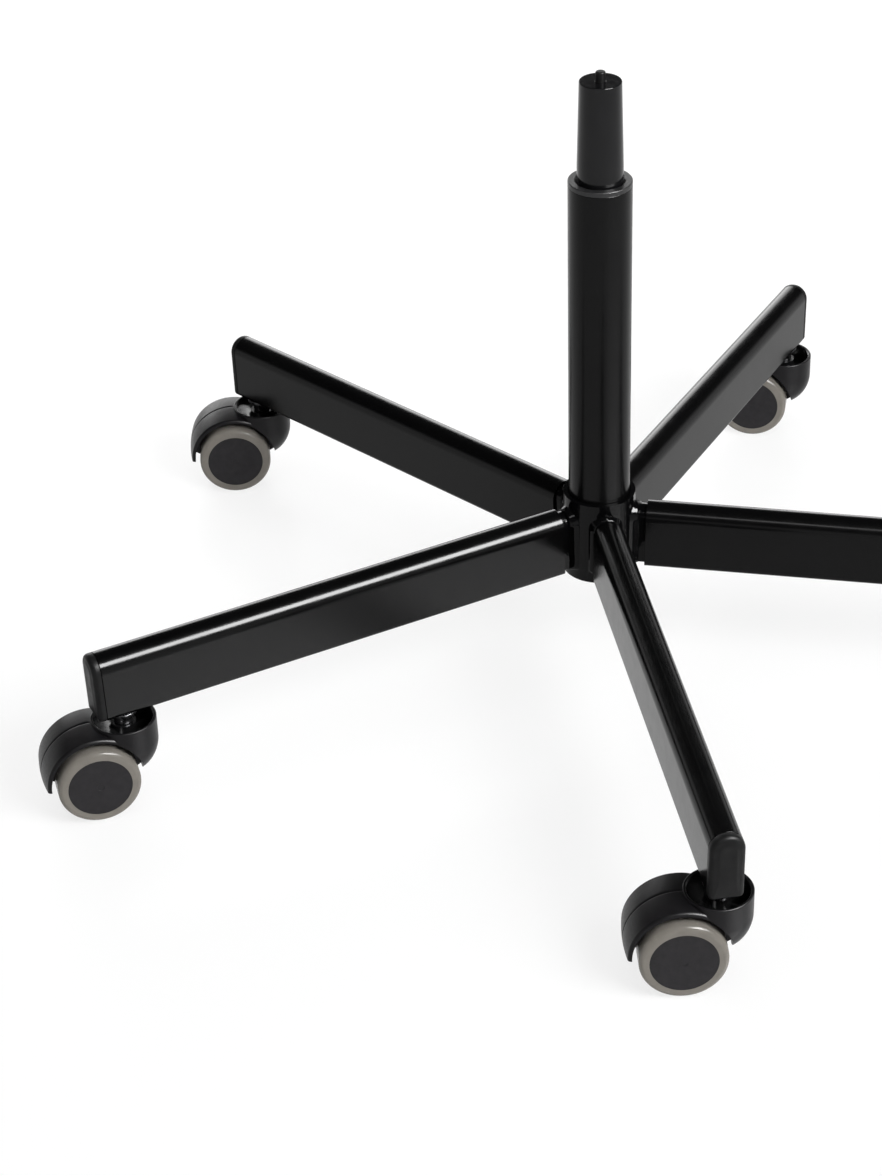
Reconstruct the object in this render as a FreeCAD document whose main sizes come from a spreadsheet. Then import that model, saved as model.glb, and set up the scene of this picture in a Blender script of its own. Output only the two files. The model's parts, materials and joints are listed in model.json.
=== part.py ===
"""Five-star underframe of a swivel chair: welded base, gas spring column and twin-wheel casters.

Millimetres, +Z up. The origin is where the column's axis meets the floor, and the first leg points
along -Y.
"""
import FreeCAD, Part
import Sketcher
import math
import os
import re

from FreeCAD import Placement, Rotation, Vector

document = FreeCAD.newDocument("chair_underframe")
sheet = document.addObject("Spreadsheet::Sheet", "Sizes")

# Driving dimensions, in millimetres, degrees and counts
SIZES = (
    # Legs: tubes with a round top and a flat underside that push onto spigots on the hub
    ("leg_count", 5),
    ("leg_droop", 1.15),
    ("leg_underside", 70),
    ("leg_width", 20),
    ("leg_height", 43),
    ("leg_wall", 2),
    ("leg_corner", 3),
    ("least_corner", 0.5),
    ("leg_end", 339.5),
    ("sleeve_clearance", 0.1),
    ("spigot_showing", 7),
    ("spigot_grip", 60),
    ("spigot_wall", 2),
    ("weld_leg", 3),
    # End caps
    ("cap_thickness", 5),
    ("cap_rounding", 3),
    ("fillet_margin", 0.06),
    ("cap_plug", 12),
    ("cap_wall", 1),
    # Hub
    ("hub_diameter", 46),
    ("mouth_gap", 0.5),
    ("hub_height", 56),
    ("hub_drop", 6.5),
    ("mouth_depth", 6),
    # Column tube, wedged in the hub by its cone
    ("column_diameter", 38.8),
    ("column_wall", 1.5),
    ("column_top", 329),
    ("column_foot", 2.5),
    ("foot_thickness", 3),
    ("cone_ratio", 20),
    ("seat_clearance", 0.02),
    # Guide bushing
    ("bushing_length", 75),
    ("bushing_flange", 3),
    ("bushing_lead", 1.4),
    ("flange_rounding", 0.6),
    ("running_clearance", 0.05),
    # Gas spring
    ("cylinder_diameter", 28),
    ("cylinder_wall", 3),
    ("cylinder_showing", 62),
    ("cylinder_head", 45),
    ("seat_cone", 52),
    ("stroke", 140),
    ("stop_gap", 0.3),
    ("guide_height", 12),
    ("piston_height", 10),
    ("rod_diameter", 10),
    ("neck_diameter", 8),
    ("pin_diameter", 6),
    ("pin_showing", 6),
    ("pin_collar", 2),
    ("pin_collar_lip", 1.5),
    # Thrust bearing, damper and clip at the foot of the rod
    ("race_diameter", 24),
    ("race_thickness", 1.5),
    ("ball_diameter", 4),
    ("ball_circle", 18),
    ("ball_count", 10),
    ("rolling_clearance", 0.02),
    ("cage_height", 2),
    ("cage_width", 5.5),
    ("cage_play", 0.15),
    ("damper_height", 12),
    ("damper_diameter", 23),
    ("washer_thickness", 1.5),
    ("washer_diameter", 18),
    ("clip_thickness", 1),
    ("clip_diameter", 15),
    ("clip_groove", 0.8),
    ("rod_tail", 2),
    # Caster stems and their sockets in the legs
    ("stem_setback", 12.5),
    ("stem_diameter", 11),
    ("stem_grip", 26),
    ("stem_chamfer", 1),
    ("collar_diameter", 18),
    ("collar_height", 2),
    ("journal_diameter", 7),
    ("journal_depth", 19),
    ("socket_height", 32),
    ("ring_height", 1.6),
    ("ring_depth", 0.9),
    ("ring_drop", 5),
    ("leg_seat_gap", 0.2),
    # Caster wheels
    ("wheel_diameter", 50),
    ("wheel_width", 17.2),
    ("wheel_gap", 1),
    ("caster_width", 46.4),
    ("trail", 20.8),
    ("disc_diameter", 38.6),
    ("disc_thickness", 2.5),
    ("rim_thickness", 2.5),
    ("rim_inset", 1),
    ("wheel_hub_diameter", 14),
    ("spoke_count", 6),
    ("spoke_thickness", 1.6),
    ("gate_diameter", 4.4),
    ("gate_depth", 0.3),
    ("shoulder_radius", 3),
    ("inner_shoulder", 2),
    ("axle_diameter", 8),
    ("axle_length", 38),
    ("axle_chamfer", 0.6),
    # Caster hoods
    ("hood_clearance", 3.2),
    ("hood_wall", 3.6),
    ("hood_crown", 1.1),
    ("fender_width", 37),
    ("fender_rounding", 2.1),
    ("fender_front", 46),
    ("tail_height", 24),
    ("cup_diameter", 39.6),
    ("cup_wall", 2.2),
    ("cup_floor", 40),
    ("rim_height", 57.3),
    ("rim_rounding", 0.8),
    ("chin_height", 22.5),
    ("chin_radius", 24),
    ("chin_start", 42),
    ("arch_wall", 1.8),
    ("boss_diameter", 15),
    ("boss_top", 54),
    ("rib_count", 4),
    ("rib_thickness", 1.5),
    ("rib_top", 48),
    ("web_overlap", 0.8),
    ("web_foot", 11),
    # How far a cut passes beyond what it cuts
    ("cut_margin", 1),
)

# Which way each caster faces at rest, turned from +X, for the legs in order
CASTER_HEADINGS = (-6, -5, -19.5, -4.5, 7.5)

# Sizes worked out from the driving ones
FORMULAS = {
    "hub_bottom": "leg_underside - hub_drop",
    "hub_top": "hub_bottom + hub_height",
    "hub_mouth_radius": "column_radius + mouth_gap",
    "cone_top": "hub_top - mouth_depth",
    "column_radius": "column_diameter / 2",
    "column_bottom": "hub_bottom - column_foot",
    "column_inner": "column_radius - column_wall",
    "cone_slope": "1 / (2 * cone_ratio)",
    "cone_foot_radius": "column_radius - (cone_top - column_bottom) * cone_slope",
    "foot_top": "column_bottom + foot_thickness",
    "cone_floor_radius": "column_inner - (cone_top - foot_top) * cone_slope",
    "leg_start": "hub_diameter / 2 + spigot_showing",
    "spigot_end": "leg_start + spigot_grip",
    "spigot_inset": "leg_wall + sleeve_clearance",
    "bushing_bottom": "column_top - bushing_length",
    "bushing_top": "column_top + bushing_flange",
    "cylinder_radius": "cylinder_diameter / 2",
    "cylinder_bore": "cylinder_radius - cylinder_wall",
    "cylinder_top": "bushing_top + cylinder_showing",
    "cylinder_roof": "cylinder_top - cylinder_head",
    "lower_race_top": "foot_top + race_thickness",
    "ball_height": "lower_race_top + rolling_clearance + ball_diameter / 2",
    "upper_race_bottom": "lower_race_top + ball_diameter + 2 * rolling_clearance",
    "upper_race_top": "upper_race_bottom + race_thickness",
    "damper_top": "upper_race_top + damper_height",
    "cylinder_bottom": "damper_top + stop_gap",
    "guide_top": "cylinder_bottom + guide_height",
    "piston_bottom": "guide_top + stroke + stop_gap",
    "piston_top": "piston_bottom + piston_height",
    "rod_radius": "rod_diameter / 2",
    "neck_radius": "neck_diameter / 2",
    "pin_radius": "pin_diameter / 2",
    "washer_top": "column_bottom - stop_gap",
    "washer_bottom": "washer_top - washer_thickness",
    "clip_bottom": "washer_bottom - clip_thickness",
    "rod_bottom": "clip_bottom - rod_tail",
    "groove_radius": "neck_radius - clip_groove",
    "wheel_radius": "wheel_diameter / 2",
    "wheel_face": "caster_width / 2",
    "wheel_back": "wheel_face - wheel_width",
    "web_thickness": "2 * (wheel_back - wheel_gap)",
    "disc_radius": "disc_diameter / 2",
    "disc_back": "wheel_face - disc_thickness",
    "axle_radius": "axle_diameter / 2",
    "wheel_space": "wheel_radius + hood_clearance",
    "dome_radius": "wheel_space + hood_wall",
    "dome_edge": "dome_radius - hood_crown",
    "crown_side": "fender_width / 2 - fender_rounding",
    "crown_radius": "(crown_side ^ 2 + hood_crown ^ 2) / (2 * hood_crown)",
    "cup_radius": "cup_diameter / 2",
    "cup_inner": "cup_radius - cup_wall",
    "chin_drop": "chin_start - chin_height",
    "chin_foot": "cup_radius - chin_radius + sqrt(chin_radius ^ 2 - chin_drop ^ 2)",
    "stem_reach": "leg_end - stem_setback",
    "stem_underside": "leg_underside - stem_reach * tan(leg_droop)",
    "collar_top": "stem_underside - leg_seat_gap",
    "collar_bottom": "collar_top - collar_height",
    "stem_top": "collar_top + stem_grip",
    "stem_shoulder": "boss_top + stop_gap",
    "journal_bottom": "stem_shoulder - journal_depth",
    "ring_top": "stem_top - ring_drop",
    "ring_bottom": "ring_top - ring_height",
    "socket_bottom": "stem_underside + leg_seat_gap",
    "socket_radius": "leg_width / 2 - spigot_inset - cap_wall - leg_seat_gap",
    "stem_radius": "stem_diameter / 2",
}


def bound(text):
    """Spell a formula out until each word in it is a cell of the sheet."""
    def spell(match):
        word = match.group(0)
        if word in FORMULAS:
            return "(" + bound(FORMULAS[word]) + ")"
        return "Sizes." + word
    return re.sub(r"\b[a-z][a-z_]*\b(?!\()", spell, text)


def value(text):
    """The number that a formula works out to."""
    return float(sheet.evalExpression(bound(text)))


def fill_sheet():
    """Write each driving dimension into its own named cell."""
    for row, (word, number) in enumerate(SIZES, start=1):
        sheet.set(f"A{row}", word)
        sheet.set(f"B{row}", str(number))
        sheet.setAlias(f"B{row}", word)
    document.recompute()


def bind(thing, **properties):
    """Bind properties of an object to formulas."""
    for name, text in properties.items():
        thing.setExpression(name, bound(text))


# Sketches
def new_sketch(body, name, plane, shift=("0", "0", "0"), turn=None):
    """A sketch on one of the body's own planes, shifted in that plane's axes and turned."""
    sketch = body.newObject("Sketcher::SketchObject", name)
    support = [feature for feature in body.Origin.OriginFeatures if feature.Role == plane]
    sketch.AttachmentSupport = [(support[0], "")]
    sketch.MapMode = "FlatFace"
    if turn:
        sketch.AttachmentOffset = Placement(Vector(), turn)
    for axis, text in zip("xyz", shift):
        if text != "0":
            sketch.setExpression(f"AttachmentOffset.Base.{axis}", bound(text))
    return sketch


def pin_point(sketch, geometry, point, x, y):
    """Hold one point of a sketch at formulas for its two coordinates."""
    for kind, text, axis in (("DistanceX", x, -2), ("DistanceY", y, -1)):
        number = value(text)
        if number == 0:
            sketch.addConstraint(Sketcher.Constraint("PointOnObject", geometry, point, axis))
        else:
            index = sketch.addConstraint(Sketcher.Constraint(kind, -1, 1, geometry, point, number))
            sketch.setExpression(f"Constraints[{index}]", bound(text))


def arc_between(start, end, radius):
    """The shorter arc between two points, bulging to the right of the way for a positive radius."""
    chord = end - start
    across = Vector(-chord.y, chord.x, 0).normalize()
    reach = math.sqrt(max(radius ** 2 - (chord.Length / 2) ** 2, 0))
    centre = (start + end) / 2 + across * math.copysign(reach, radius)
    first, last = (start, end) if radius > 0 else (end, start)
    angles = [math.atan2(point.y - centre.y, point.x - centre.x) for point in (first, last)]
    circle = Part.Circle(centre, Vector(0, 0, 1), abs(radius))
    return Part.ArcOfCircle(circle, angles[0], angles[1])


def outline(sketch, corners):
    """Draw a closed outline anticlockwise, with each corner held by formulas.

    A corner is (x, y), or (x, y, radius) where the way to the next corner is an arc. A negative
    radius makes that arc hollow.
    """
    spots = [Vector(value(corner[0]), value(corner[1]), 0) for corner in corners]
    ends = []
    for index, corner in enumerate(corners):
        start = spots[index]
        end = spots[(index + 1) % len(spots)]
        if len(corner) == 2:
            ends.append((sketch.addGeometry(Part.LineSegment(start, end)), 1, 2))
            continue
        radius = value(corner[2])
        arc = sketch.addGeometry(arc_between(start, end, radius))
        ends.append((arc, 1, 2) if radius > 0 else (arc, 2, 1))
    for index, (geometry, _, last) in enumerate(ends):
        following, first, _ = ends[(index + 1) % len(ends)]
        sketch.addConstraint(Sketcher.Constraint("Coincident", geometry, last, following, first))
    for (geometry, first, _), corner in zip(ends, corners):
        pin_point(sketch, geometry, first, corner[0], corner[1])
        if len(corner) == 3:
            radius = abs(value(corner[2]))
            index = sketch.addConstraint(Sketcher.Constraint("Radius", geometry, radius))
            sketch.setExpression(f"Constraints[{index}]", f"abs({bound(corner[2])})")


def circle(sketch, x, y, radius):
    """Draw a circle whose centre and radius are held by formulas."""
    centre = Vector(value(x), value(y), 0)
    geometry = sketch.addGeometry(Part.Circle(centre, Vector(0, 0, 1), value(radius)))
    pin_point(sketch, geometry, 3, x, y)
    index = sketch.addConstraint(Sketcher.Constraint("Radius", geometry, value(radius)))
    sketch.setExpression(f"Constraints[{index}]", bound(radius))


# Features
def new_body(label):
    return document.addObject("PartDesign::Body", label)


def pad(body, name, sketch, length, symmetric=False, backwards=False):
    """Raise a sketch by a length."""
    feature = body.newObject("PartDesign::Pad", name)
    feature.Profile = sketch
    feature.SideType = "Symmetric" if symmetric else "One side"
    feature.Reversed = backwards
    bind(feature, Length=length)
    return feature


def cut_through(body, name, sketch, length, backwards=False):
    """Cut a sketch into the body by a length, and see that it took something away."""
    document.recompute()
    before = body.Shape.Volume
    feature = body.newObject("PartDesign::Pocket", name)
    feature.Profile = sketch
    feature.Reversed = backwards
    bind(feature, Length=length)
    document.recompute()
    if not body.Shape.Volume < before:
        raise RuntimeError(f"{body.Label}: {name} cuts nothing")
    return feature


def polar(body, name, features, count):
    """Repeat features evenly round the body's Z axis."""
    feature = body.newObject("PartDesign::PolarPattern", name)
    axis = [origin for origin in body.Origin.OriginFeatures if origin.Role == "Z_Axis"]
    feature.Originals = features
    feature.Axis = (axis[0], [""])
    feature.Angle = 360
    bind(feature, Occurrences=count)
    body.Tip = feature
    return feature


def turned(label, corners):
    """A piece turned about Z, from its half section of radius and height."""
    body = new_body(label)
    section = new_sketch(body, label + "_section", "XZ_Plane")
    outline(section, corners)
    feature = body.newObject("PartDesign::Revolution", label + "_turn")
    feature.Profile = section
    feature.ReferenceAxis = (section, ["V_Axis"])
    feature.Angle = 360
    return body


def ring(label, inner, outer, bottom, top):
    """A plain turned ring."""
    return turned(label, [(inner, bottom), (outer, bottom), (outer, top), (inner, top)])


def cylinder(label, radius, height, place):
    """A plain cylinder along the place's own Z."""
    solid = document.addObject("Part::Cylinder", label)
    bind(solid, Radius=radius, Height=height)
    solid.Placement = place
    return solid


def block(label, length, width, height, place):
    """A plain block that starts at the place's origin."""
    solid = document.addObject("Part::Box", label)
    bind(solid, Length=length, Width=width, Height=height)
    solid.Placement = place
    return solid


def cut(label, base, tool):
    solid = document.addObject("Part::Cut", label)
    solid.Base = base
    solid.Tool = tool
    return solid


def fuse(label, shapes):
    solid = document.addObject("Part::MultiFuse", label)
    solid.Shapes = shapes
    return solid


# The finished pieces, by the label that names their file
pieces = []


def piece(thing):
    """Count an object as a finished piece."""
    pieces.append(thing)
    return thing


def copies(label, pattern, places):
    """Linked copies of one modelled piece, each with its own label and place."""
    for number, place in enumerate(places, start=1):
        link = document.addObject("App::Link", f"{label}_{number}")
        link.LinkedObject = pattern
        link.Placement = place
        piece(link)


def group(label, pattern, places):
    """Like pieces that share one node, as separate solids."""
    links = []
    for number, place in enumerate(places, start=1):
        link = document.addObject("App::Link", f"{label}_{number}")
        link.LinkedObject = pattern
        link.Placement = place
        links.append(link)
    bunch = document.addObject("Part::Compound", label)
    bunch.Links = links
    return piece(bunch)


# Places
def leg_bearing(number):
    """Compass direction of a leg: the first points along -Y, the others follow anticlockwise."""
    return 270 + 360 / value("leg_count") * number


def leg_places():
    """A leg's own frame: X out along the leg, Z up from its underside, drooping to the tip."""
    for number in range(round(value("leg_count"))):
        turn = Rotation(Vector(0, 0, 1), leg_bearing(number))
        droop = Rotation(Vector(0, 1, 0), value("leg_droop"))
        yield Placement(Vector(0, 0, value("leg_underside")), turn * droop)


def caster_places():
    """A caster's own frame: Z up its stem from the floor, X the way it faces."""
    for number in range(round(value("leg_count"))):
        bearing = math.radians(leg_bearing(number))
        reach = value("stem_reach")
        spot = Vector(reach * math.cos(bearing), reach * math.sin(bearing), 0)
        heading = CASTER_HEADINGS[number % len(CASTER_HEADINGS)]
        yield Placement(spot, Rotation(Vector(0, 0, 1), heading))


def axle_place(side=1):
    """The axle's frame in a caster: Z along the axle, towards one wheel or the other."""
    spot = Vector(-value("trail"), 0, value("wheel_radius"))
    return Placement(spot, Rotation(Vector(1, 0, 0), -90 * side))


# Base
def leg_section(sketch, inset):
    """The tube section inset all round: flat underside, upright sides and a full-round top."""
    half = f"(leg_width / 2 - {inset})"
    low = inset
    corner = f"max(leg_corner - {inset}, least_corner)"
    spring = "leg_height - leg_width / 2"
    outline(sketch, [
        (f"-({half} - {corner})", low),
        (f"{half} - {corner}", low, corner),
        (half, f"{low} + {corner}"),
        (half, spring, half),
        ("0", f"{spring} + {half}", half),
        (f"-{half}", spring),
        (f"-{half}", f"{low} + {corner}", corner),
    ])


def hub_weldment():
    """The hub: a tube with a tapered bore and five welded spigots that carry the legs."""
    body = new_body("hub_weldment")
    section = new_sketch(body, "hub_section", "XZ_Plane")
    outline(section, [
        ("0", "hub_bottom"),
        ("hub_diameter / 2", "hub_bottom"),
        ("hub_diameter / 2", "hub_top"),
        ("0", "hub_top"),
    ])
    tube = body.newObject("PartDesign::Revolution", "hub_tube")
    tube.Profile = section
    tube.ReferenceAxis = (section, ["V_Axis"])
    tube.Angle = 360

    # In the upright YZ plane X runs along +Y and Y up, so a leg's direction is a turn about that Y
    bearing = Rotation(Vector(0, 1, 0), leg_bearing(0))
    droop = Rotation(Vector(1, 0, 0), value("leg_droop"))

    def across_leg(name, distance):
        """A sketch square to the first leg, at a distance from the column's axis."""
        sketch = new_sketch(body, name, "YZ_Plane", turn=bearing * droop)
        along = (bearing * droop).multVec(Vector(0, 0, 1))
        sketch.setExpression("AttachmentOffset.Base.x", f"{along.x} * ({bound(distance)})")
        rise = f"{bound('leg_underside')} + {along.y} * ({bound(distance)})"
        sketch.setExpression("AttachmentOffset.Base.y", rise)
        sketch.setExpression("AttachmentOffset.Base.z", f"{along.z} * ({bound(distance)})")
        return sketch

    spigot_section = across_leg("spigot_section", "hub_mouth_radius")
    leg_section(spigot_section, "spigot_inset")
    leg_section(spigot_section, "(spigot_inset + spigot_wall)")
    spigot = pad(body, "spigot", spigot_section, "spigot_end - hub_mouth_radius")

    weld_root = across_leg("weld_root", "hub_mouth_radius")
    leg_section(weld_root, "(spigot_inset - weld_leg)")
    weld_toe = across_leg("weld_toe", "hub_diameter / 2 + weld_leg")
    leg_section(weld_toe, "(spigot_inset - sleeve_clearance)")
    weld = body.newObject("PartDesign::AdditiveLoft", "weld")
    weld.Profile = weld_root
    weld.Sections = [weld_toe]
    weld.Ruled = True
    polar(body, "spigots", [spigot, weld], "leg_count")

    bore = new_sketch(body, "hub_bore_section", "XZ_Plane")
    outline(bore, [
        ("0", "hub_bottom"),
        ("column_radius - (cone_top - hub_bottom) * cone_slope + seat_clearance", "hub_bottom"),
        ("column_radius + seat_clearance", "cone_top"),
        ("hub_mouth_radius", "cone_top"),
        ("hub_mouth_radius", "hub_top"),
        ("0", "hub_top"),
    ])
    groove = body.newObject("PartDesign::Groove", "hub_bore")
    groove.Profile = bore
    groove.ReferenceAxis = (bore, ["V_Axis"])
    groove.Angle = 360
    return piece(body)


def leg_tube():
    """One leg: a length of tube with a hole in its underside for the caster's socket."""
    body = new_body("leg_tube")
    section = new_sketch(body, "leg_section", "YZ_Plane", ("0", "0", "leg_start"))
    leg_section(section, "0")
    leg_section(section, "leg_wall")
    pad(body, "leg_length", section, "leg_end - leg_start")
    hole = new_sketch(body, "socket_hole_place", "XY_Plane")
    circle(hole, "stem_reach", "0", "socket_radius + leg_seat_gap")
    cut_through(body, "socket_hole", hole, "leg_wall + cut_margin", backwards=True)
    return body


def end_cap():
    """One end cap: a rounded face plate, with a hollow plug notched for the caster's socket."""
    body = new_body("end_cap")
    face = new_sketch(body, "cap_outline", "YZ_Plane", ("0", "0", "leg_end"))
    leg_section(face, "0")
    plate = pad(body, "cap_plate", face, "cap_thickness")
    document.recompute()
    front = value("leg_end + cap_thickness")
    edges = [
        f"Edge{number}"
        for number, edge in enumerate(plate.Shape.Edges, start=1)
        if all(abs(vertex.X - front) < 0.001 for vertex in edge.Vertexes)
    ]
    rounding = body.newObject("PartDesign::Fillet", "cap_rounded_edge")
    rounding.Base = (plate, edges)
    bind(rounding, Radius="min(cap_rounding; cap_thickness - fillet_margin; leg_corner - fillet_margin)")
    plug = new_sketch(body, "cap_plug_section", "YZ_Plane", ("0", "0", "leg_end"))
    leg_section(plug, "spigot_inset")
    leg_section(plug, "(spigot_inset + cap_wall)")
    pad(body, "cap_plug_wall", plug, "cap_plug", backwards=True)
    notch = new_sketch(body, "socket_notch_place", "XY_Plane")
    circle(notch, "stem_reach", "0", "socket_radius + leg_seat_gap")
    cut_through(body, "socket_notch", notch, "spigot_inset + cap_wall + cut_margin", backwards=True)
    return body


def stem_socket():
    """One socket: a bush inside the leg that grips the caster's stem."""
    return ring("stem_socket", "stem_radius + seat_clearance", "socket_radius",
                "socket_bottom", "socket_bottom + socket_height")


def caster_stem():
    """One stem: a pin with a ring groove, a collar under the leg and a journal for the hood."""
    groove = "stem_radius - ring_depth"
    return turned("caster_stem", [
        ("0", "journal_bottom"),
        ("journal_diameter / 2", "journal_bottom"),
        ("journal_diameter / 2", "stem_shoulder"),
        ("stem_radius", "stem_shoulder"),
        ("stem_radius", "collar_bottom"),
        ("collar_diameter / 2", "collar_bottom"),
        ("collar_diameter / 2", "collar_top"),
        ("stem_radius", "collar_top"),
        ("stem_radius", "ring_bottom"),
        (groove, "ring_bottom"),
        (groove, "ring_top"),
        ("stem_radius", "ring_top"),
        ("stem_radius", "stem_top - stem_chamfer"),
        ("stem_radius - stem_chamfer", "stem_top"),
        ("0", "stem_top"),
    ])


def grip_ring():
    """One spring ring in a stem's groove, which holds the stem in its socket."""
    return ring("grip_ring", "stem_radius - ring_depth + seat_clearance", "stem_radius",
                "ring_bottom + seat_clearance", "ring_top - seat_clearance")


def base():
    """The standing base: hub, legs, end caps and what holds the casters."""
    hub_weldment()
    copies("leg_tube", leg_tube(), leg_places())
    copies("end_cap", end_cap(), leg_places())
    group("stem_sockets", stem_socket(), caster_places())
    group("caster_stems", caster_stem(), caster_places())
    group("grip_rings", grip_ring(), caster_places())


# Column and gas spring
def column_tube():
    """The outer tube: coned and closed at its foot, open at the top for the guide bushing."""
    hole = "neck_radius + stop_gap"
    return piece(turned("column_tube", [
        (hole, "column_bottom"),
        ("cone_foot_radius", "column_bottom"),
        ("column_radius", "cone_top"),
        ("column_radius", "column_top"),
        ("column_inner", "column_top"),
        ("column_inner", "cone_top"),
        ("cone_floor_radius", "foot_top"),
        (hole, "foot_top"),
    ]))


def guide_bushing():
    """The plastic guide in the tube's mouth, with a flange that covers the tube's end."""
    guide = "cylinder_radius + running_clearance"
    snug = "column_inner - running_clearance"
    return piece(turned("guide_bushing", [
        (guide, "bushing_bottom"),
        (snug, "bushing_bottom"),
        (snug, "column_top"),
        ("column_radius", "column_top"),
        ("column_radius", "bushing_top - flange_rounding", "flange_rounding"),
        ("column_radius - flange_rounding", "bushing_top"),
        (f"{guide} + bushing_lead", "bushing_top"),
        (guide, "bushing_top - bushing_lead"),
    ]))


def thrust_bearing():
    """The ball thrust bearing on the tube's closed foot, which the rod turns on."""
    piece(ring("lower_race", "neck_radius + stop_gap", "race_diameter / 2", "foot_top",
               "lower_race_top"))
    cage = ring("ball_cage", "ball_circle / 2 - cage_width / 2", "ball_circle / 2 + cage_width / 2",
                "ball_height - cage_height / 2", "ball_height + cage_height / 2")
    hole = new_sketch(cage, "ball_hole_place", "XY_Plane", ("0", "0", "ball_height - cage_height"))
    circle(hole, "ball_circle / 2", "0", "ball_diameter / 2 + cage_play")
    pocket = cut_through(cage, "ball_hole", hole, "2 * cage_height", backwards=True)
    polar(cage, "ball_holes", [pocket], "ball_count")
    piece(cage)

    ball = document.addObject("Part::Sphere", "ball")
    bind(ball, Radius="ball_diameter / 2")
    spots = []
    for number in range(round(value("ball_count"))):
        turn = Rotation(Vector(0, 0, 1), 360 / value("ball_count") * number)
        spot = turn.multVec(Vector(value("ball_circle / 2"), 0, value("ball_height")))
        spots.append(Placement(spot, turn))
    group("bearing_balls", ball, spots)
    piece(ring("upper_race", "neck_radius + seat_clearance", "race_diameter / 2",
               "upper_race_bottom", "upper_race_top"))


def rod_and_piston():
    """The piston rod, held at the tube's foot, with its piston, damper, washer and clip."""
    piece(turned("piston_rod", [
        ("0", "rod_bottom"),
        ("neck_radius", "rod_bottom"),
        ("neck_radius", "clip_bottom"),
        ("groove_radius", "clip_bottom"),
        ("groove_radius", "washer_bottom"),
        ("neck_radius", "washer_bottom"),
        ("neck_radius", "upper_race_top"),
        ("rod_radius", "upper_race_top"),
        ("rod_radius", "piston_top"),
        ("0", "piston_top"),
    ]))
    piece(ring("piston", "rod_radius + seat_clearance", "cylinder_bore - running_clearance",
               "piston_bottom", "piston_top"))
    piece(ring("rubber_damper", "rod_radius + cage_play", "damper_diameter / 2", "upper_race_top",
               "damper_top"))
    piece(ring("clip_washer", "neck_radius + seat_clearance", "washer_diameter / 2", "washer_bottom",
               "washer_top"))
    clip = ring("retaining_clip", "groove_radius + seat_clearance", "clip_diameter / 2",
                "clip_bottom + seat_clearance", "washer_bottom")
    gap = new_sketch(clip, "clip_gap_place", "XY_Plane", ("0", "0", "clip_bottom - cut_margin"))
    outline(gap, [
        ("0", "-groove_radius"),
        ("clip_diameter", "-groove_radius"),
        ("clip_diameter", "groove_radius"),
        ("0", "groove_radius"),
    ])
    cut_through(clip, "clip_gap", gap, "clip_thickness + 2 * cut_margin", backwards=True)
    piece(clip)


def gas_cylinder():
    """The pressure cylinder: closed by a head whose outside is the cone that the seat sits on."""
    pin_hole = "pin_radius + running_clearance"
    piece(turned("gas_cylinder", [
        ("cylinder_bore", "cylinder_bottom"),
        ("cylinder_radius", "cylinder_bottom"),
        ("cylinder_radius", "cylinder_top - seat_cone"),
        ("cylinder_radius - seat_cone * cone_slope", "cylinder_top"),
        (pin_hole, "cylinder_top"),
        (pin_hole, "cylinder_roof"),
        ("cylinder_bore", "cylinder_roof"),
    ]))
    piece(ring("rod_guide", "rod_radius + running_clearance", "cylinder_bore - seat_clearance",
               "cylinder_bottom", "guide_top"))
    collar_top = "cylinder_roof - stop_gap"
    piece(turned("release_pin", [
        ("0", f"{collar_top} - pin_collar"),
        ("pin_radius + pin_collar_lip", f"{collar_top} - pin_collar"),
        ("pin_radius + pin_collar_lip", collar_top),
        ("pin_radius", collar_top),
        ("pin_radius", "cylinder_top + pin_showing - flange_rounding"),
        ("pin_radius - flange_rounding", "cylinder_top + pin_showing"),
        ("0", "cylinder_top + pin_showing"),
    ]))


def column():
    """The column: tube, bushing, bearing and the gas spring that slides in them."""
    column_tube()
    guide_bushing()
    thrust_bearing()
    rod_and_piston()
    gas_cylinder()


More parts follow.
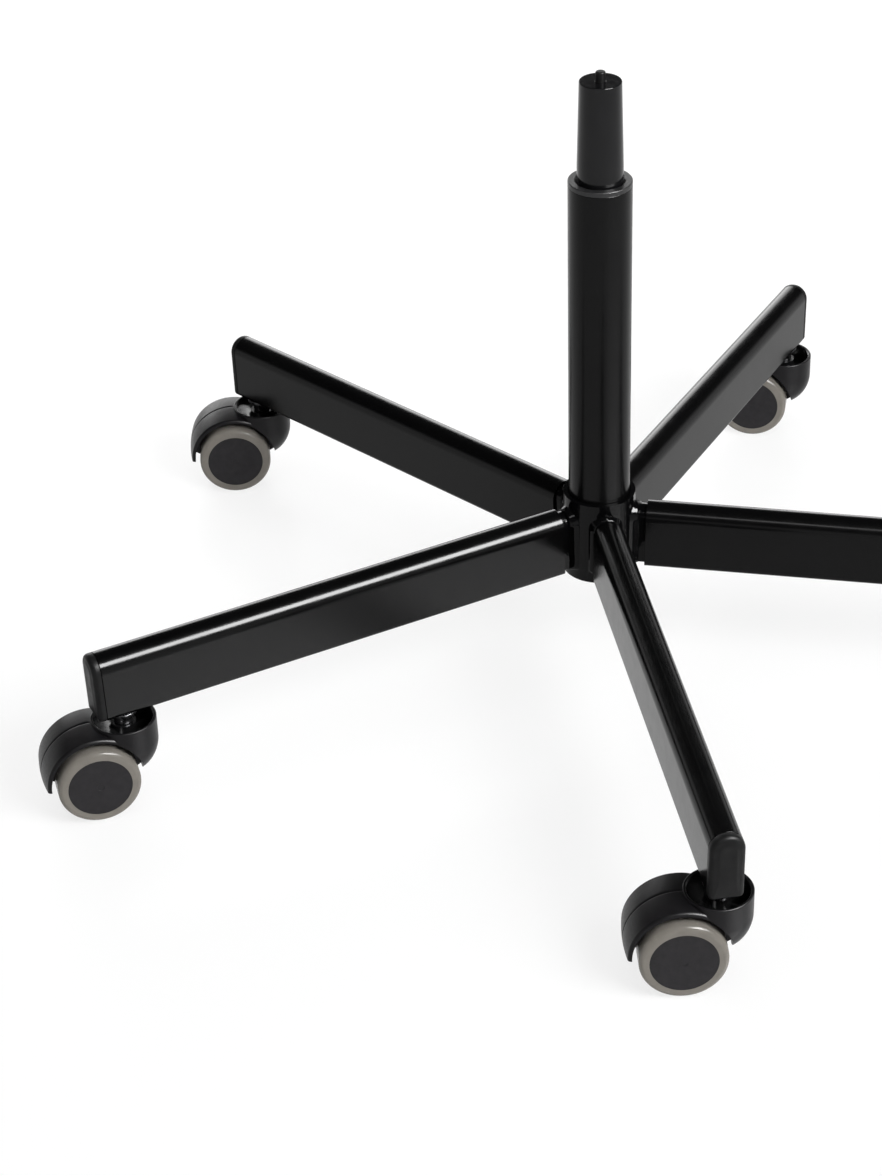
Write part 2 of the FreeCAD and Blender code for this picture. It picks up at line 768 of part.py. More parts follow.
# Casters
def caster_hood():
    """One hood: a crowned fender over both wheels, a round cup round the stem and a web between.

    The cup is open upwards, with a boss for the stem and ribs across its floor. Its front wall
    draws in below, as a chin that stops short of the wheels.
    """
    side = "fender_width / 2"
    dome = turned("hood_dome", [
        ("0", f"-{side}"),
        ("dome_edge - fender_rounding", f"-{side}", "fender_rounding"),
        ("dome_edge", "-crown_side", "crown_radius"),
        ("dome_radius", "0", "crown_radius"),
        ("dome_edge", "crown_side", "fender_rounding"),
        ("dome_edge - fender_rounding", side),
        ("0", side),
    ])
    dome.Placement = axle_place()
    reach = value("2 * dome_radius")
    breadth = value("fender_width")
    ahead = Placement(Vector(-value("trail"), -breadth, -value("hood_wall * 2")), Rotation())
    behind = Placement(ahead.Base - Vector(reach, 0, 0), Rotation())
    below = fuse("below_fender", [
        block("below_front", "2 * dome_radius", "2 * fender_width", "fender_front + hood_wall * 2", ahead),
        block("below_tail", "2 * dome_radius", "2 * fender_width", "tail_height + hood_wall * 2", behind),
    ])
    fender = cut("fender", dome, below)

    bowl = turned("hood_bowl", [
        ("0", "chin_height"),
        ("chin_foot", "chin_height", "chin_radius"),
        ("cup_radius", "chin_start"),
        ("cup_radius", "rim_height - rim_rounding", "rim_rounding"),
        ("cup_radius - rim_rounding", "rim_height"),
        ("0", "rim_height"),
    ])
    hollow = turned("cup_hollow", [
        ("0", "boss_top"),
        ("boss_diameter / 2", "boss_top"),
        ("boss_diameter / 2", "cup_floor"),
        ("cup_inner", "cup_floor"),
        ("cup_inner", "rim_height - rim_rounding"),
        ("cup_inner + rim_rounding", "rim_height"),
        ("cup_inner + rim_rounding", "rim_height + cup_wall"),
        ("0", "rim_height + cup_wall"),
    ])
    across = axle_place().multiply(Placement(Vector(0, 0, -value("cup_diameter")), Rotation()))
    arch = cylinder("arch_wall_zone", "wheel_space + arch_wall", "2 * cup_diameter", across)
    cup = cut("open_cup", fuse("hood_blank", [fender, bowl]), cut("cup_room", hollow, arch))

    ribs = []
    for number in range(round(value("rib_count"))):
        turn = Rotation(Vector(0, 0, 1), 180 / value("rib_count") * (number + 0.5))
        length = value("cup_diameter - cup_wall")
        corner = Vector(-length / 2, -value("rib_thickness / 2"), value("cup_floor - rib_thickness"))
        ribs.append(block(f"rib_{number + 1}", "cup_diameter - cup_wall", "rib_thickness",
                          "rib_top - cup_floor + rib_thickness",
                          Placement(turn.multVec(corner), turn)))
    wheels = cylinder("wheel_room", "wheel_space", "2 * cup_diameter", across)
    arched = cut("arched_hood", fuse("ribbed_hood", [cup, *ribs]), wheels)

    web = new_body("hood_web")
    side_view = new_sketch(web, "web_outline", "XZ_Plane")
    radius = "(wheel_space + web_overlap)"
    outline(side_view, [
        (f"{radius} - trail", "wheel_radius", radius),
        ("-trail", f"wheel_radius + {radius}", radius),
        (f"-{radius} - trail", "wheel_radius"),
        ("-web_foot - trail", "wheel_radius - web_foot"),
        ("web_foot - trail", "wheel_radius - web_foot"),
    ])
    pad(web, "web_plate", side_view, "web_thickness", symmetric=True)

    bore_bottom = Vector(0, 0, value("journal_bottom - stop_gap"))
    bores = fuse("hood_bores", [
        cylinder("stem_bore", "journal_diameter / 2 + running_clearance",
                 "boss_top - journal_bottom + 2 * stop_gap", Placement(bore_bottom, Rotation())),
        cylinder("axle_bore", "axle_radius + seat_clearance", "2 * cup_diameter", across),
    ])
    return cut("caster_hood", fuse("webbed_hood", [arched, web]), bores)


def caster_axle():
    """One axle: a plain pin pressed through the hood's web."""
    half = "axle_length / 2"
    return turned("caster_axle", [
        ("0", f"-{half}"),
        ("axle_radius - axle_chamfer", f"-{half}"),
        ("axle_radius", f"axle_chamfer - {half}"),
        ("axle_radius", f"{half} - axle_chamfer"),
        ("axle_radius - axle_chamfer", half),
        ("0", half),
    ])


def wheel_core():
    """One wheel centre: a closed outer disc, a rim for the tyre, a hub for the axle and spokes."""
    bore = "axle_radius + running_clearance"
    blind = "axle_length / 2 + stop_gap"
    rim_back = "wheel_back + rim_inset"
    rim_inner = "disc_radius - rim_thickness"
    core = turned("wheel_core", [
        (bore, "wheel_back"),
        ("wheel_hub_diameter / 2", "wheel_back"),
        ("wheel_hub_diameter / 2", "disc_back"),
        (rim_inner, "disc_back"),
        (rim_inner, rim_back),
        ("disc_radius", rim_back),
        ("disc_radius", "wheel_face"),
        ("gate_diameter / 2", "wheel_face"),
        ("gate_diameter / 2", "wheel_face - gate_depth"),
        ("0", "wheel_face - gate_depth"),
        ("0", blind),
        (bore, blind),
    ])
    spoke_plan = new_sketch(core, "spoke_plan", "XY_Plane", ("0", "0", "wheel_back + 2 * rim_inset"))
    inner = "wheel_hub_diameter / 2 - spoke_thickness / 2"
    outer = "disc_radius - rim_thickness / 2"
    outline(spoke_plan, [
        (inner, "-spoke_thickness / 2"),
        (outer, "-spoke_thickness / 2"),
        (outer, "spoke_thickness / 2"),
        (inner, "spoke_thickness / 2"),
    ])
    spoke = pad(core, "spoke", spoke_plan, "disc_back - wheel_back - rim_inset")
    polar(core, "spokes", [spoke], "spoke_count")
    return core


def tyre():
    """One tyre: a soft tread moulded round the wheel centre, with a full outer shoulder."""
    return turned("tyre", [
        ("disc_radius", "wheel_back"),
        ("wheel_radius - inner_shoulder", "wheel_back", "inner_shoulder"),
        ("wheel_radius", "wheel_back + inner_shoulder"),
        ("wheel_radius", "wheel_face - shoulder_radius", "shoulder_radius"),
        ("wheel_radius - shoulder_radius", "wheel_face"),
        ("disc_radius", "wheel_face"),
    ])


def casters():
    """A hood, an axle and two wheels under the end of each leg."""
    places = list(caster_places())
    copies("caster_hood", caster_hood(), places)
    copies("caster_axle", caster_axle(), [place.multiply(axle_place()) for place in places])
    core = wheel_core()
    tread = tyre()
    for name, side in (("left", 1), ("right", -1)):
        wheel_places = [place.multiply(axle_place(side)) for place in places]
        copies(f"wheel_core_{name}", core, wheel_places)
        copies(f"tyre_{name}", tread, wheel_places)


def check_and_write():
    """Stop at any failed object or bad shape, then write one STEP file per piece."""
    for thing in document.Objects:
        if "Invalid" in thing.State or "Error" in thing.State:
            raise RuntimeError(f"{thing.Label} failed: {thing.State}")
    for thing in pieces:
        if thing.Shape.isNull() or not thing.Shape.isValid():
            raise RuntimeError(f"{thing.Label} has no valid shape")
    os.makedirs("parts", exist_ok=True)
    for thing in pieces:
        thing.Shape.exportStep(f"parts/{thing.Label}.step")
    print(f"{len(pieces)} pieces written")


fill_sheet()
base()
column()
casters()
document.recompute()
check_and_write()
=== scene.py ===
import json
import math

import bpy
from mathutils import Matrix, Vector

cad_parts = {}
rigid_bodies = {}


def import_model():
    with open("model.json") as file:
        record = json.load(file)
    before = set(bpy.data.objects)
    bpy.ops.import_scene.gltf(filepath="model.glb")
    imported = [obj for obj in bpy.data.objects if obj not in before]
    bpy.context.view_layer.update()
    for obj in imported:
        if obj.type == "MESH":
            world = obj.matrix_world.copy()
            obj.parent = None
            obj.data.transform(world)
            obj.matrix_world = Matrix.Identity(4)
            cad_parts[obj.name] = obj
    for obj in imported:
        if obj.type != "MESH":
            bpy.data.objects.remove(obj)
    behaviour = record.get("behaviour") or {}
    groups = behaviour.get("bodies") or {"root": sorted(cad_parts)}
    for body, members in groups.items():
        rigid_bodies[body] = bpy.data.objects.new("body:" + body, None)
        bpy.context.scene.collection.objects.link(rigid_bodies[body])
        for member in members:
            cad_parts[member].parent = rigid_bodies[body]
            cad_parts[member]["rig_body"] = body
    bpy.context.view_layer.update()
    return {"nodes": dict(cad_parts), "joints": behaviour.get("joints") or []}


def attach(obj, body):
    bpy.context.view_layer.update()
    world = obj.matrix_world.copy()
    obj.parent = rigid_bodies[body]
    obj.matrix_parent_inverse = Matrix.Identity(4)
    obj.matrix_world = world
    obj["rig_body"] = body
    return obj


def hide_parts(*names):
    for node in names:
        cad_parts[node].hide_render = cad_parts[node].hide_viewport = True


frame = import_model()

# Hub weldment
# A short steel tube with a tapered bore, and five flat-sided spigots welded to it for the legs.
# It is sprayed with gloss black enamel after welding, which leaves a slightly rippled skin.
hub_edge = 0.0009
sharp_angle = 35
flat_angle = 0.05
merge_distance = 0.000003
sliver = 0.0000005


def take_up(piece):
    """Make one object the only one selected, and the active one."""
    bpy.ops.object.select_all(action="DESELECT")
    piece.select_set(True)
    bpy.context.view_layer.objects.active = piece


def shade_evenly(piece, sharp):
    """Shade a piece smooth up to an angle, with its flat faces left looking flat."""
    take_up(piece)
    bpy.ops.mesh.customdata_custom_splitnormals_clear()
    bpy.ops.object.shade_smooth_by_angle(angle=math.radians(sharp))
    shading = piece.modifiers.new("even shading", "WEIGHTED_NORMAL")
    shading.keep_sharp = True
    bpy.ops.object.modifier_apply(modifier=shading.name)


def dressed(node, material, edge, segments=3, sharp=sharp_angle):
    """Stand a copy of a solid in for it, with its sharp edges broken by a small radius."""
    piece = bpy.data.objects.new(node + "_dressed", frame["nodes"][node].data.copy())
    bpy.context.scene.collection.objects.link(piece)
    take_up(piece)
    bpy.ops.object.mode_set(mode="EDIT")
    bpy.ops.mesh.select_all(action="SELECT")
    bpy.ops.mesh.remove_doubles(threshold=merge_distance)
    bpy.ops.mesh.dissolve_limited(angle_limit=math.radians(flat_angle))
    bpy.ops.object.mode_set(mode="OBJECT")
    if edge:
        bevel = piece.modifiers.new("broken edge", "BEVEL")
        bevel.width = edge
        bevel.segments = segments
        bevel.limit_method = "ANGLE"
        bevel.angle_limit = math.radians(sharp)
        bevel.miter_outer = "MITER_ARC"
        bpy.ops.object.modifier_apply(modifier=bevel.name)
        bpy.ops.object.mode_set(mode="EDIT")
        bpy.ops.mesh.select_all(action="SELECT")
        bpy.ops.mesh.dissolve_degenerate(threshold=sliver)
        bpy.ops.object.mode_set(mode="OBJECT")
    shade_evenly(piece, sharp)
    piece.data.materials.clear()
    piece.data.materials.append(material)
    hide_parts(node)
    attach(piece, frame["nodes"][node]["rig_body"])
    return piece


def blank_material(name, specular=0.5):
    """A material with a plain shader, and the object's own coordinates to lay patterns on."""
    material = bpy.data.materials.new(name)
    material.use_nodes = True
    shader = material.node_tree.nodes["Principled BSDF"]
    shader.inputs["Specular IOR Level"].default_value = specular
    place = material.node_tree.nodes.new("ShaderNodeTexCoord")
    return material, shader, place.outputs["Object"]


def noise(material, place, scale, detail=3):
    """A soft random pattern; scale is in blotches to the metre."""
    texture = material.node_tree.nodes.new("ShaderNodeTexNoise")
    texture.inputs["Scale"].default_value = scale
    texture.inputs["Detail"].default_value = detail
    material.node_tree.links.new(place, texture.inputs["Vector"])
    return texture.outputs["Fac"]


def tint(material, shader, pattern, dark, light):
    """Let a pattern move the colour between two close shades."""
    ramp = material.node_tree.nodes.new("ShaderNodeValToRGB")
    ramp.color_ramp.elements[0].position = 0.3
    ramp.color_ramp.elements[0].color = (*dark, 1)
    ramp.color_ramp.elements[1].position = 0.7
    ramp.color_ramp.elements[1].color = (*light, 1)
    material.node_tree.links.new(pattern, ramp.inputs["Fac"])
    material.node_tree.links.new(ramp.outputs["Color"], shader.inputs["Base Color"])


def gloss_range(material, shader, pattern, low, high):
    """Let a pattern move the roughness between two values."""
    spread = material.node_tree.nodes.new("ShaderNodeMapRange")
    spread.inputs["From Min"].default_value = 0.3
    spread.inputs["From Max"].default_value = 0.7
    spread.inputs["To Min"].default_value = low
    spread.inputs["To Max"].default_value = high
    material.node_tree.links.new(pattern, spread.inputs["Value"])
    material.node_tree.links.new(spread.outputs["Result"], shader.inputs["Roughness"])


def relief(material, shader, pattern, height):
    """Let a pattern raise the surface by up to a height in metres."""
    bump = material.node_tree.nodes.new("ShaderNodeBump")
    bump.inputs["Distance"].default_value = height
    material.node_tree.links.new(pattern, bump.inputs["Height"])
    material.node_tree.links.new(bump.outputs["Normal"], shader.inputs["Normal"])


enamel_dark = (0.0012, 0.0012, 0.0014)
enamel_light = (0.002, 0.002, 0.0022)
enamel, shader, place = blank_material("gloss_black_enamel", specular=0.11)
tint(enamel, shader, noise(enamel, place, 60), enamel_dark, enamel_light)
gloss_range(enamel, shader, noise(enamel, place, 140), 0.06, 0.11)
relief(enamel, shader, noise(enamel, place, 260), 0.00016)

hub = dressed("hub_weldment", enamel, hub_edge)

# Weld beads
# Each spigot is welded to the hub all round by hand. The beads are left as they are, lumpy under
# the enamel. They stand in for the plain collars of the weldment, which draw back under them.
leg_count = 5
leg_droop = math.radians(1.15)
leg_underside = 0.070
hub_radius = 0.023
collar_toe = 0.026
collar_draw = 0.0022
spigot_half_width = 0.0079
spigot_foot = 0.0721
spigot_spring = 0.103
bead_radius = 0.0012
bead_pitch = 0.0023
bead_unevenness = 0.25
bead_rhythm = 2.4
on_toe = 0.00002


def leg_direction(index):
    """The way out along a leg, which droops a little towards its tip."""
    droop = Matrix.Rotation(leg_droop, 4, "X")
    return Matrix.Rotation(math.tau / leg_count * index, 4, "Z") @ droop @ Vector((0, -1, 0))


for index in range(leg_count):
    out = leg_direction(index)
    for vertex in hub.data.vertices:
        reach = vertex.co.dot(out) + leg_underside * math.sin(leg_droop)
        if abs(reach - collar_toe) < on_toe:
            vertex.co -= out * collar_draw

# The way round a spigot: up one side, over the round top, down the other side and back below
way = []
side_count = round((spigot_spring - spigot_foot) / bead_pitch)
for step in range(side_count):
    way.append((spigot_half_width, spigot_foot + step * bead_pitch))
arc_count = round(math.pi * spigot_half_width / bead_pitch)
for step in range(arc_count + 1):
    angle = math.pi * step / arc_count
    way.append((spigot_half_width * math.cos(angle), spigot_spring + spigot_half_width * math.sin(angle)))
for step in range(side_count):
    way.append((-spigot_half_width, spigot_spring - (step + 1) * bead_pitch))
foot_count = round(2 * spigot_half_width / bead_pitch)
for step in range(1, foot_count):
    way.append((spigot_half_width * (2 * step / foot_count - 1), spigot_foot))

bpy.ops.object.select_all(action="DESELECT")
lumps = []
for index, (across, height) in enumerate(way):
    out = math.sqrt(hub_radius ** 2 - across ** 2) + bead_radius / 3
    swell = 1 + bead_unevenness * math.sin(index * bead_rhythm)
    bpy.ops.mesh.primitive_uv_sphere_add(
        segments=12, ring_count=8, radius=bead_radius * swell,
        location=(across, -out, height - out * math.tan(leg_droop)))
    lumps.append(bpy.context.object)
for lump in lumps:
    lump.select_set(True)
bpy.ops.object.join()
bead = bpy.context.object
bpy.ops.object.transform_apply(location=True, rotation=True, scale=True)
skin = bead.modifiers.new("one skin", "REMESH")
skin.mode = "VOXEL"
skin.voxel_size = bead_radius / 5
bpy.ops.object.modifier_apply(modifier=skin.name)
flow = bead.modifiers.new("flow", "SMOOTH")
flow.iterations = 2
bpy.ops.object.modifier_apply(modifier=flow.name)
bpy.ops.object.shade_smooth()
bead.data.materials.append(enamel)
for number in range(1, leg_count + 1):
    copy = bpy.data.objects.new(f"weld_bead_{number}", bead.data.copy())
    copy.data.transform(Matrix.Rotation(math.tau / leg_count * (number - 1), 4, "Z"))
    bpy.context.scene.collection.objects.link(copy)
    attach(copy, "base")
bpy.data.objects.remove(bead)

# Leg tubes
# Drawn steel tube with a round top and a flat underside, pushed over the hub's spigots. Powder
# coated in gloss black: an even film with a faint orange peel.
leg_edge = 0.0002
coat_dark = (0.0012, 0.0012, 0.0013)
coat_light = (0.002, 0.002, 0.0021)

leg_coat, shader, place = blank_material("gloss_black_coat", specular=0.12)
tint(leg_coat, shader, noise(leg_coat, place, 25), coat_dark, coat_light)
gloss_range(leg_coat, shader, noise(leg_coat, place, 90), 0.16, 0.21)
relief(leg_coat, shader, noise(leg_coat, place, 700), 0.00001)

tubes = [dressed(f"leg_tube_{number}", leg_coat, leg_edge) for number in range(1, leg_count + 1)]

# End caps
# Moulded black plugs that close the legs, with a rounded face and a satin skin. The rim of each
# stands off the end of its tube by a hair, which shows as a black line.
cap_edge = 0.0002
cap_gap = 0.0005
swell_steps = ((0.8, 0.0005), (0.75, 0.0003), (0.6, 0.0001))
cap_dark = (0.006, 0.006, 0.0062)
cap_light = (0.0085, 0.0085, 0.0087)

cap_plastic, shader, place = blank_material("satin_black_moulding", specular=0.07)
tint(cap_plastic, shader, noise(cap_plastic, place, 200), cap_dark, cap_light)
gloss_range(cap_plastic, shader, noise(cap_plastic, place, 300), 0.36, 0.46)
relief(cap_plastic, shader, noise(cap_plastic, place, 2600, 2), 0.00002)


def swell_face(cap, out):
    """Swell the flat face of a cap a little, in steps that each shrink it and raise it."""
    take_up(cap)
    bpy.ops.object.mode_set(mode="EDIT")
    bpy.ops.mesh.select_mode(type="FACE")
    bpy.ops.mesh.select_all(action="DESELECT")
    bpy.ops.object.mode_set(mode="OBJECT")
    face = max(cap.data.polygons, key=lambda side: side.area * side.normal.dot(out))
    face.select = True
    middle = face.center.copy()
    bpy.ops.object.mode_set(mode="EDIT")
    for shrink, rise in swell_steps:
        bpy.ops.mesh.extrude_region_move(TRANSFORM_OT_translate={"value": out * rise})
        bpy.ops.transform.resize(value=(shrink, shrink, shrink), center_override=middle)
    bpy.ops.object.mode_set(mode="OBJECT")
    bpy.ops.mesh.customdata_custom_splitnormals_clear()
    bpy.ops.object.shade_smooth_by_angle(angle=math.radians(sharp_angle))


for index, tube in enumerate(tubes):
    cap = dressed(f"end_cap_{index + 1}", cap_plastic, cap_edge)
    out = leg_direction(index)
    tube_end = max(vertex.co.dot(out) for vertex in tube.data.vertices)
    for vertex in cap.data.vertices:
        if vertex.co.dot(out) > tube_end - cap_edge / 2:
            vertex.co += out * cap_gap
    swell_face(cap, out)

# Stems, sockets and grip rings
# Zinc plated steel pins that carry the casters. Each has a spring ring in a groove, and is pressed
# up into a steel bush inside the end of the leg.
stem_edge = 0.0003
# The zinc's colour is painted far darker than bright plating. This is painted shade, because the stems
# sit in shade under the legs and in the cups, and it also tones down the strong shine lamp on the metal.
zinc_painted_shade_dark = (0.08, 0.08, 0.083)
zinc_painted_shade_light = (0.11, 0.11, 0.114)

zinc, shader, place = blank_material("zinc_steel_with_painted_shade")
tint(zinc, shader, noise(zinc, place, 150), zinc_painted_shade_dark, zinc_painted_shade_light)
gloss_range(zinc, shader, noise(zinc, place, 400), 0.22, 0.36)
relief(zinc, shader, noise(zinc, place, 1500), 0.00001)
shader.inputs["Metallic"].default_value = 1

for node in ("stem_sockets", "caster_stems", "grip_rings"):
    dressed(node, zinc, stem_edge)

# Column tube
# Cold drawn steel tube, coned and closed at its foot, which wedges into the hub. Semi-gloss black
# stove paint.
column_edge = 0.0004
paint_dark = (0.0012, 0.0012, 0.0013)
paint_light = (0.002, 0.002, 0.0021)

column_paint, shader, place = blank_material("semi_gloss_black_paint", specular=0.12)
tint(column_paint, shader, noise(column_paint, place, 40), paint_dark, paint_light)
gloss_range(column_paint, shader, noise(column_paint, place, 120), 0.20, 0.26)
relief(column_paint, shader, noise(column_paint, place, 900), 0.000012)

dressed("column_tube", column_paint, column_edge)

# Guide bushing, ball cage and rod guide
# Dark grey acetal mouldings. The bushing in the column's mouth guides the cylinder and has a flange
# that covers the tube's end, the cage spaces the bearing's balls, and the rod guide closes the
# cylinder's foot.
bushing_edge = 0.0004
acetal_dark = (0.009, 0.009, 0.0095)
acetal_light = (0.014, 0.014, 0.0145)

guide_plastic, shader, place = blank_material("dark_grey_acetal", specular=0.3)
tint(guide_plastic, shader, noise(guide_plastic, place, 300), acetal_dark, acetal_light)
gloss_range(guide_plastic, shader, noise(guide_plastic, place, 500), 0.30, 0.40)
relief(guide_plastic, shader, noise(guide_plastic, place, 2200), 0.00001)

for node in ("guide_bushing", "ball_cage", "rod_guide"):
    dressed(node, guide_plastic, bushing_edge)

# Thrust bearing, rod and piston
# Hardened steel races and balls carry the rod at the column's foot, so that the seat turns. The rod,
# its piston, and the washer and clip that hold it below the foot are of bright steel.
# These share the zinc material and its painted shade.
for node in ("lower_race", "upper_race", "bearing_balls", "piston_rod", "piston", "clip_washer",
             "retaining_clip"):
    dressed(node, zinc, 0)

# Rubber damper
# Soft black rubber ring, moulded and slipped over the rod. The cylinder lands on it when the seat
# is let right down.
damper_edge = 0.0008
rubber_dark = (0.010, 0.010, 0.010)
rubber_light = (0.018, 0.018, 0.018)

rubber, shader, place = blank_material("black_rubber")
tint(rubber, shader, noise(rubber, place, 250), rubber_dark, rubber_light)
gloss_range(rubber, shader, noise(rubber, place, 500), 0.6, 0.75)
relief(rubber, shader, noise(rubber, place, 1800), 0.00003)

dressed("rubber_damper", rubber, damper_edge)

# Gas cylinder and release pin
# The spring's pressure cylinder is drawn steel, coned at the top, ground and lacquered gloss black.
# The release pin is a black moulding that stands out of its top.
cylinder_edge = 0.0005
lacquer_dark = (0.003, 0.003, 0.0034)
lacquer_light = (0.005, 0.005, 0.0054)

lacquer, shader, place = blank_material("gloss_black_lacquer", specular=0.2)
tint(lacquer, shader, noise(lacquer, place, 50), lacquer_dark, lacquer_light)
gloss_range(lacquer, shader, noise(lacquer, place, 200), 0.07, 0.12)
relief(lacquer, shader, noise(lacquer, place, 1200), 0.000004)

dressed("gas_cylinder", lacquer, cylinder_edge)
dressed("release_pin", cap_plastic, cylinder_edge)

# Caster hoods
# One-piece nylon mouldings with a fine spark-eroded grain outside, left bright from the tool inside
# the cup. The two halves of the tool meet over the crown and leave a fine groove there. The axle is
# a steel pin pressed through the web.
hood_edge = 0.0004
hood_sharp = 30
dome_radius = 0.0318
cup_inside = 0.0179
cup_depth_from = 0.036
parting_width = 0.0005
parting_depth = 0.0003
on_middle = 0.00001
on_dome = 0.00005
facing_down = -0.01
grain_dark = (0.0040, 0.0037, 0.0043)
grain_light = (0.0056, 0.0052, 0.0060)
cup_dark = (0.004, 0.004, 0.0043)
cup_light = (0.007, 0.007, 0.0073)
joint_of = {joint["name"]: joint for joint in frame["joints"]}

hood_plastic, shader, place = blank_material("grained_black_nylon", specular=0.13)
tint(hood_plastic, shader, noise(hood_plastic, place, 180), grain_dark, grain_light)
gloss_range(hood_plastic, shader, noise(hood_plastic, place, 700), 0.32, 0.40)
relief(hood_plastic, shader, noise(hood_plastic, place, 2400, 2), 0.00004)

cup_plastic, shader, place = blank_material("bright_black_nylon", specular=0.3)
tint(cup_plastic, shader, noise(cup_plastic, place, 180), cup_dark, cup_light)
gloss_range(cup_plastic, shader, noise(cup_plastic, place, 500), 0.14, 0.22)
relief(cup_plastic, shader, noise(cup_plastic, place, 1200), 0.00003)


def crown_points(hood, number):
    """The points of a hood on the middle of its crown, each with its direction from the axle."""
    spin = joint_of[f"wheel_spin_left_{number}"]
    axle = Vector(spin["pos_m"])
    along = Vector(spin["axis"])
    points = []
    for vertex in hood.data.vertices:
        arm = vertex.co - axle
        across = arm.dot(along)
        outward = arm - along * across
        if abs(across) < on_middle and abs(outward.length - dome_radius) < on_dome:
            points.append((vertex, outward.normalized()))
    return points


def groove_crown(hood, number):
    """Sink a fine groove along the middle of a hood's crown."""
    take_up(hood)
    bpy.ops.object.mode_set(mode="EDIT")
    bpy.ops.mesh.select_mode(type="VERT")
    bpy.ops.mesh.select_all(action="DESELECT")
    bpy.ops.object.mode_set(mode="OBJECT")
    for vertex, _ in crown_points(hood, number):
        vertex.select = True
    bpy.ops.object.mode_set(mode="EDIT")
    bpy.ops.mesh.bevel(offset=parting_width / 2, segments=2, affect="EDGES")
    bpy.ops.object.mode_set(mode="OBJECT")
    for vertex, outward in crown_points(hood, number):
        vertex.co -= outward * parting_depth


def brighten_cup(hood, number):
    """Give the inside of a hood's cup the bright finish."""
    hood.data.materials.append(cup_plastic)
    stem = Vector(joint_of[f"caster_swivel_{number}"]["pos_m"])
    for face in hood.data.polygons:
        middle = face.center - stem
        inside = math.hypot(middle.x, middle.y) < cup_inside and face.center.z > cup_depth_from
        if inside and face.normal.z > facing_down:
            face.material_index = 1


for number in range(1, leg_count + 1):
    hood = dressed(f"caster_hood_{number}", hood_plastic, hood_edge, segments=2, sharp=hood_sharp)
    groove_crown(hood, number)
    brighten_cup(hood, number)
    dressed(f"caster_axle_{number}", zinc, 0)

# Wheels
# Black moulded centres with a flat closed disc outside, two on each axle. A soft grey polyurethane
# tread is moulded round each.
disc_edge = 0.0003
disc_dark = (0.012, 0.0112, 0.0125)
disc_light = (0.016, 0.0150, 0.0166)
tread_dark = (0.158, 0.147, 0.130)
tread_light = (0.178, 0.166, 0.147)

wheel_plastic, shader, place = blank_material("matt_black_moulding", specular=0.12)
tint(wheel_plastic, shader, noise(wheel_plastic, place, 250), disc_dark, disc_light)
gloss_range(wheel_plastic, shader, noise(wheel_plastic, place, 900), 0.52, 0.62)
relief(wheel_plastic, shader, noise(wheel_plastic, place, 3000, 2), 0.00003)

tread, shader, place = blank_material("grey_polyurethane", specular=0.12)
tint(tread, shader, noise(tread, place, 120), tread_dark, tread_light)
gloss_range(tread, shader, noise(tread, place, 500), 0.20, 0.28)
relief(tread, shader, noise(tread, place, 1600), 0.00002)

for side in ("left", "right"):
    for number in range(1, leg_count + 1):
        dressed(f"wheel_core_{side}_{number}", wheel_plastic, disc_edge)
        dressed(f"tyre_{side}_{number}", tread, 0)

# Floor
# A white studio floor with a satin sheen. Seen directly or in a reflection most of it glows at plain
# white, and the rest is lit, so that the shadows stay but are faint. Far out all of it glows.
floor_size = 30
floor_glow = 0.78
shadow_reach = 0.7
all_white_from = 2.2
floor_sheen = 0.045
floor_sheen_roughness = 0.28
floor_colour = 0.80

bpy.ops.object.select_all(action="DESELECT")
bpy.ops.mesh.primitive_plane_add(size=floor_size, location=(0, 0, 0))
floor = bpy.context.object
floor.name = "floor"
white = bpy.data.materials.new("white_floor")
white.use_nodes = True
tree = white.node_tree
tree.nodes.remove(tree.nodes["Principled BSDF"])
lit = tree.nodes.new("ShaderNodeBsdfDiffuse")
lit.inputs["Color"].default_value = (floor_colour, floor_colour, floor_colour, 1)
glow = tree.nodes.new("ShaderNodeEmission")
path = tree.nodes.new("ShaderNodeLightPath")
mirror = tree.nodes.new("ShaderNodeMath")
mirror.operation = "MAXIMUM"
seen = tree.nodes.new("ShaderNodeMath")
seen.operation = "MAXIMUM"
spot = tree.nodes.new("ShaderNodeTexCoord")
distance = tree.nodes.new("ShaderNodeVectorMath")
distance.operation = "LENGTH"
fade = tree.nodes.new("ShaderNodeMapRange")
fade.inputs["From Min"].default_value = shadow_reach
fade.inputs["From Max"].default_value = all_white_from
fade.inputs["To Min"].default_value = floor_glow
share = tree.nodes.new("ShaderNodeMath")
share.operation = "MULTIPLY"
mix = tree.nodes.new("ShaderNodeMixShader")
sheen = tree.nodes.new("ShaderNodeBsdfGlossy")
sheen.inputs["Color"].default_value = (floor_sheen, floor_sheen, floor_sheen, 1)
sheen.inputs["Roughness"].default_value = floor_sheen_roughness
both = tree.nodes.new("ShaderNodeAddShader")
tree.links.new(path.outputs["Is Glossy Ray"], mirror.inputs[0])
tree.links.new(path.outputs["Is Transmission Ray"], mirror.inputs[1])
tree.links.new(path.outputs["Is Camera Ray"], seen.inputs[0])
tree.links.new(mirror.outputs["Value"], seen.inputs[1])
tree.links.new(spot.outputs["Object"], distance.inputs[0])
tree.links.new(distance.outputs["Value"], fade.inputs["Value"])
tree.links.new(seen.outputs["Value"], share.inputs[0])
tree.links.new(fade.outputs["Result"], share.inputs[1])
tree.links.new(share.outputs["Value"], mix.inputs["Fac"])
tree.links.new(lit.outputs["BSDF"], mix.inputs[1])
tree.links.new(glow.outputs["Emission"], mix.inputs[2])
tree.links.new(mix.outputs["Shader"], both.inputs[0])
tree.links.new(sheen.outputs["BSDF"], both.inputs[1])
tree.links.new(both.outputs["Shader"], tree.nodes["Material Output"].inputs["Surface"])
floor.data.materials.append(white)

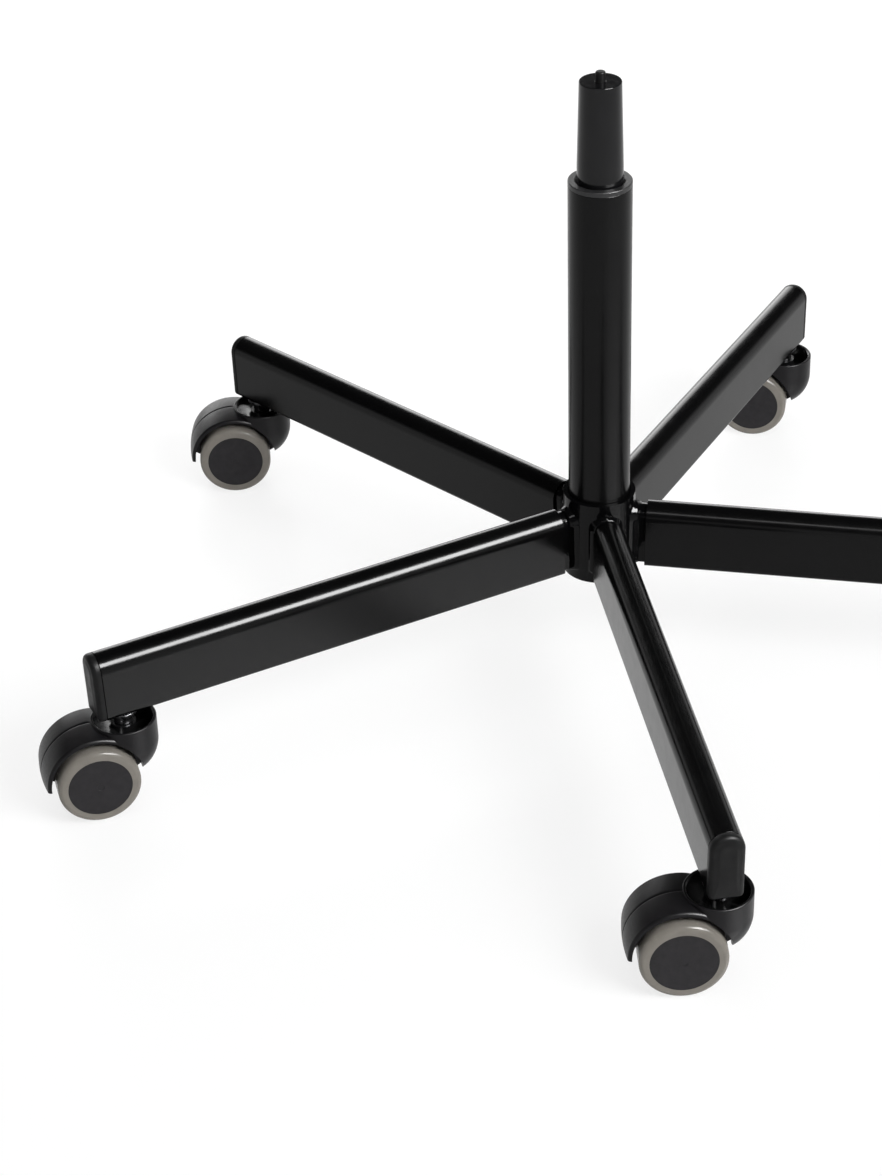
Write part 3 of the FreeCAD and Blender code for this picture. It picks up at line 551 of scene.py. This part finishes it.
# Light
# A large softbox to the front right, a wide fill above, a lit strip low down behind, a narrow one
# over the camera, and a studio that is white near the floor and dark overhead. The softbox is one
# lamp for its shine and another for its light: the gloss shows it bright, the colours stay plain.
# A soft light from behind shows the far sides of the wheels.
key_spot = (0.96, -1.19, 1.37)
key_size = (1.2, 0.8)
fill_spot = (-0.4, -0.3, 2.6)
fill_size = (2.6, 2.6)
strip_spot = (0, 3.0, 0.72)
strip_size = (3.4, 1.3)
back_spot = (-0.7, 2.0, 1.1)
back_size = (1.6, 1.2)
front_spot = (-0.4, -1.55, 1.95)
front_size = (1.6, 0.3)
white_below = 0.12
dark_above = 0.30
overhead = 0.05


def softbox(name, spot, size, power, shines):
    """A rectangular lamp that faces the hub, and that either shows in the gloss or lights the colours."""
    lamp = bpy.data.lights.new(name, "AREA")
    lamp.shape = "RECTANGLE"
    lamp.size = size[0]
    lamp.size_y = size[1]
    lamp.energy = power
    holder = bpy.data.objects.new(name, lamp)
    holder.location = spot
    holder.rotation_euler = (-Vector(spot)).to_track_quat("-Z", "Y").to_euler()
    holder.visible_diffuse = not shines
    holder.visible_glossy = shines
    bpy.context.scene.collection.objects.link(holder)


softbox("key_shine", key_spot, key_size, 240, shines=True)
softbox("key_light", key_spot, key_size, 57, shines=False)
softbox("fill_light", fill_spot, fill_size, 30, shines=False)
softbox("back_strip", strip_spot, strip_size, 56, shines=True)
softbox("back_light", back_spot, back_size, 20, shines=False)
softbox("front_strip", front_spot, front_size, 12, shines=True)

world = bpy.data.worlds.new("studio")
bpy.context.scene.world = world
world.use_nodes = True
tree = world.node_tree
direction = tree.nodes.new("ShaderNodeTexCoord")
split = tree.nodes.new("ShaderNodeSeparateXYZ")
ramp = tree.nodes.new("ShaderNodeValToRGB")
ramp.color_ramp.elements[0].position = white_below
ramp.color_ramp.elements[0].color = (1, 1, 1, 1)
ramp.color_ramp.elements[1].position = dark_above
ramp.color_ramp.elements[1].color = (overhead, overhead, overhead, 1)
tree.links.new(direction.outputs["Generated"], split.inputs["Vector"])
tree.links.new(split.outputs["Z"], ramp.inputs["Fac"])
tree.links.new(ramp.outputs["Color"], tree.nodes["Background"].inputs["Color"])

# Camera
# Above and in front, looking down at the base through a long lens. The right leg runs out of the
# picture.
camera_spot = Vector((-0.3005, -1.4635, 1.0117))
camera_turn = math.radians(-9.51)
camera_pitch = math.radians(90 - 32.899)
camera_roll = math.radians(-0.961)
sensor_width = 36
focal_length = 84.18
picture_shift = -0.0625

lens = bpy.data.cameras.new("camera")
lens.sensor_width = sensor_width
lens.lens = focal_length
lens.shift_x = picture_shift
lens.clip_end = 100
camera = bpy.data.objects.new("camera", lens)
turn = Matrix.Rotation(camera_turn, 4, "Z")
pitch = Matrix.Rotation(camera_pitch, 4, "X")
roll = Matrix.Rotation(camera_roll, 4, "Z")
camera.matrix_world = Matrix.Translation(camera_spot) @ turn @ pitch @ roll
bpy.context.scene.collection.objects.link(camera)
bpy.context.scene.camera = camera
bpy.context.scene.view_settings.view_transform = "Standard"
